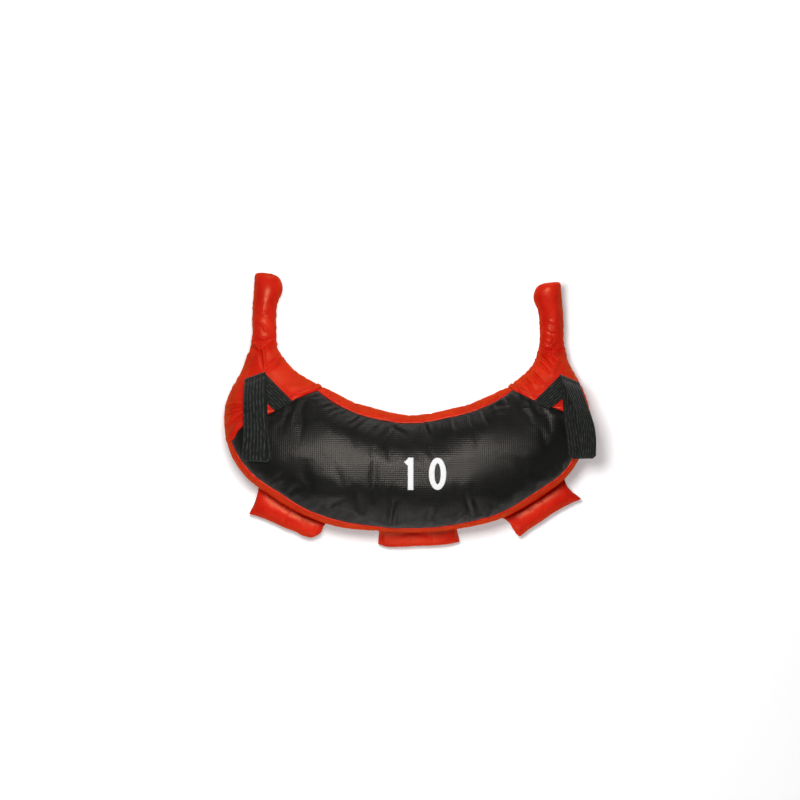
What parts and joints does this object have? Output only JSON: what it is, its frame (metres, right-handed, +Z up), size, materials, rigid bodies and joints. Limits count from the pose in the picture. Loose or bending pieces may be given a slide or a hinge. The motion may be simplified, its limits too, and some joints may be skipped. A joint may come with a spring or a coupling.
{
  "type": "bulgarian bag",
  "caption": "Sand-filled crescent training bag in red and black vinyl, with bending neck handles, lifting webbing hand loops and swinging grip tabs.",
  "frame": {"origin": "on the floor under the middle of the belly, at the centre of the flat patch that the bag lies on", "axes": "+Z up out of the front panel, +Y from the belly towards the handles, +X to the right when seen from above with the handles away from the viewer"},
  "size_m": [0.5557, 0.4151, 0.1389],
  "materials": {
    "vinyl_black": "scrim-woven coated vinyl, satin",
    "vinyl_red": "smooth coated vinyl, semi-gloss",
    "webbing": "ribbed polyester webbing, matt",
    "film_white": "heat-transfer film, matt",
    "felt": "needled felt",
    "canvas": "tight cotton canvas",
    "textile": "packed textile waste",
    "foam": "open-cell foam"
  },
  "bodies": {
    "bag_body": {"front_panel": "vinyl_black", "back_panel": "vinyl_black", "inner_gusset": "vinyl_red", "outer_gusset": "vinyl_red", "left_wing_front": "vinyl_red", "left_wing_back": "vinyl_red", "right_wing_front": "vinyl_red", "right_wing_back": "vinyl_red", "left_neck_roll": "textile", "right_neck_roll": "textile", "left_wing_stuffing": "textile", "right_wing_stuffing": "textile", "wadding_wrap": "felt", "left_sand_bag": "canvas", "centre_sand_bag": "canvas", "right_sand_bag": "canvas", "left_strap_anchor": "webbing", "right_strap_anchor": "webbing", "left_tab_flange": "vinyl_red", "centre_tab_flange": "vinyl_red", "right_tab_flange": "vinyl_red", "weight_mark_tens": "film_white", "weight_mark_units": "film_white"},
    "left_handle": {"left_handle_sleeve": "vinyl_red", "left_handle_core": "textile"},
    "right_handle": {"right_handle_sleeve": "vinyl_red", "right_handle_core": "textile"},
    "left_loop": {"left_strap_loop": "webbing"},
    "right_loop": {"right_strap_loop": "webbing"},
    "left_tab": {"left_tab_cover": "vinyl_red", "left_tab_pad": "foam"},
    "centre_tab": {"centre_tab_cover": "vinyl_red", "centre_tab_pad": "foam"},
    "right_tab": {"right_tab_cover": "vinyl_red", "right_tab_pad": "foam"}
  },
  "joints": [
    {"name": "left_handle_bend", "type": "hinge", "parent": "bag_body", "child": "left_handle", "pos_m": [-0.2205, 0.18447, 0.03445], "axis": [0, 0.1045, 0.9945], "range_deg": [-18, 18]},
    {"name": "right_handle_bend", "type": "hinge", "parent": "bag_body", "child": "right_handle", "pos_m": [0.21224, 0.17865, 0.03445], "axis": [0, -0.2079, 0.9781], "range_deg": [-18, 18]},
    {"name": "left_loop_lift", "type": "hinge", "parent": "bag_body", "child": "left_loop", "pos_m": [-0.23282, 0.14224, 0.08584], "axis": [-0.9461, -0.318, -0.0616], "range_deg": [0, 105]},
    {"name": "right_loop_lift", "type": "hinge", "parent": "bag_body", "child": "right_loop", "pos_m": [0.23772, 0.13761, 0.08627], "axis": [-0.8466, 0.351, 0.4002], "range_deg": [0, 105]},
    {"name": "left_tab_swing", "type": "hinge", "parent": "bag_body", "child": "left_tab", "pos_m": [-0.17979, -0.0556, 0.03888], "axis": [-0.8628, 0.5055, 0], "range_deg": [-28, 80]},
    {"name": "centre_tab_swing", "type": "hinge", "parent": "bag_body", "child": "centre_tab", "pos_m": [0.01161, -0.09071, 0.039], "axis": [-0.9997, -0.0244, 0], "range_deg": [-6, 110]},
    {"name": "right_tab_swing", "type": "hinge", "parent": "bag_body", "child": "right_tab", "pos_m": [0.18622, -0.04385, 0.03874], "axis": [-0.8311, -0.5562, 0], "range_deg": [-28, 80]}
  ]
}
